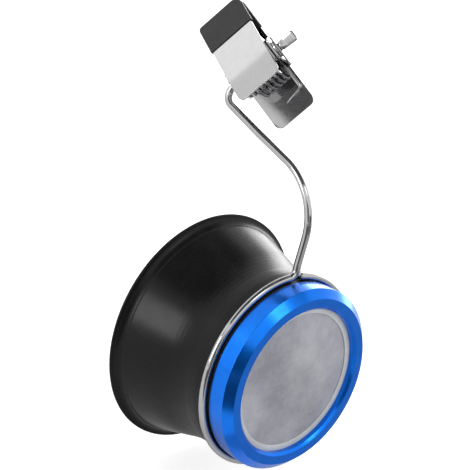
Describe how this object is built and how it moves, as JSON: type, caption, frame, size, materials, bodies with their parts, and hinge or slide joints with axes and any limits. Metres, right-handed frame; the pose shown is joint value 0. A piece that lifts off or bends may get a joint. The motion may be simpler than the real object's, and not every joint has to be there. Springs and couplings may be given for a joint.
{
  "type": "clip on eyeglass loupe",
  "caption": "Magnifying eyepiece with a flared black eyecup and a blue front ring, carried by a bent wire arm on a sprung clip for an eyeglass frame.",
  "frame": {"origin": "centre of the eye rim's plane, on the optical axis, where the eyecup's mouth opens", "axes": "+Y along the optical axis towards the eye, so the lens window faces -Y; +Z towards the foot of the wire arm, up as worn; +X to the right seen from the front"},
  "size_m": [0.046, 0.042, 0.0852],
  "materials": {
    "black_cup": "satin gloss",
    "black_barrel": "moulded matt",
    "blue_anodised": "bright blue anodised",
    "lens_glass": "polished",
    "black_ring": "blackened",
    "gasket": "satin grey",
    "polished_wire": "polished",
    "plated_sheet": "nickel plated",
    "spring_steel": "bright drawn",
    "sleeve_rubber": "matt black"
  },
  "bodies": {
    "clip": {"rear_lever": "plated_sheet", "rear_jaw_sleeve": "sleeve_rubber", "hinge_tube": "spring_steel", "torsion_spring": "spring_steel", "right_friction_washer": "spring_steel", "friction_leaf": "plated_sheet"},
    "jaw": {"front_lever": "plated_sheet", "front_jaw_sleeve": "sleeve_rubber"},
    "arm": {"wire_arm": "polished_wire", "left_friction_washer": "spring_steel"},
    "loupe": {"eyecup": "black_cup", "lens_barrel": "black_barrel", "front_lens": "lens_glass", "rear_lens": "lens_glass", "lens_spacer": "black_ring", "rear_gasket": "gasket", "field_stop": "black_ring"},
    "gasket": {"front_gasket": "gasket"},
    "bezel": {"bezel": "blue_anodised"}
  },
  "joints": [
    {"name": "jaw_open", "type": "hinge", "parent": "clip", "child": "jaw", "pos_m": [0.00275, 0.00042, 0.05143], "axis": [0.3904, -0.4793, 0.786], "range_deg": [0, 18], "stiffness_Nm_per_rad": 0.06, "springref_deg": -34.38, "deforming": ["torsion_spring"]},
    {"name": "arm_swivel", "type": "hinge", "parent": "clip", "child": "arm", "pos_m": [0.00275, 0.00042, 0.05143], "axis": [0.3904, -0.4793, 0.786], "range_deg": [-120, 120]},
    {"name": "loupe_turn", "type": "hinge", "parent": "arm", "child": "loupe", "pos_m": [0, -0.02125, 0], "axis": [0, 1, 0], "continuous": true},
    {"name": "gasket_travel", "type": "slide", "parent": "loupe", "child": "gasket", "axis": [0, -1, 0], "range_m": [0, 0.00226]},
    {"name": "bezel_turn", "type": "hinge", "parent": "gasket", "child": "bezel", "pos_m": [0, -0.0273, 0], "axis": [0, -1, 0], "range_deg": [0, 1080]}
  ],
  "couplings": [
    {"joint": "gasket_travel", "follows": "bezel_turn", "m_per_rad": 0.00011937}
  ]
}
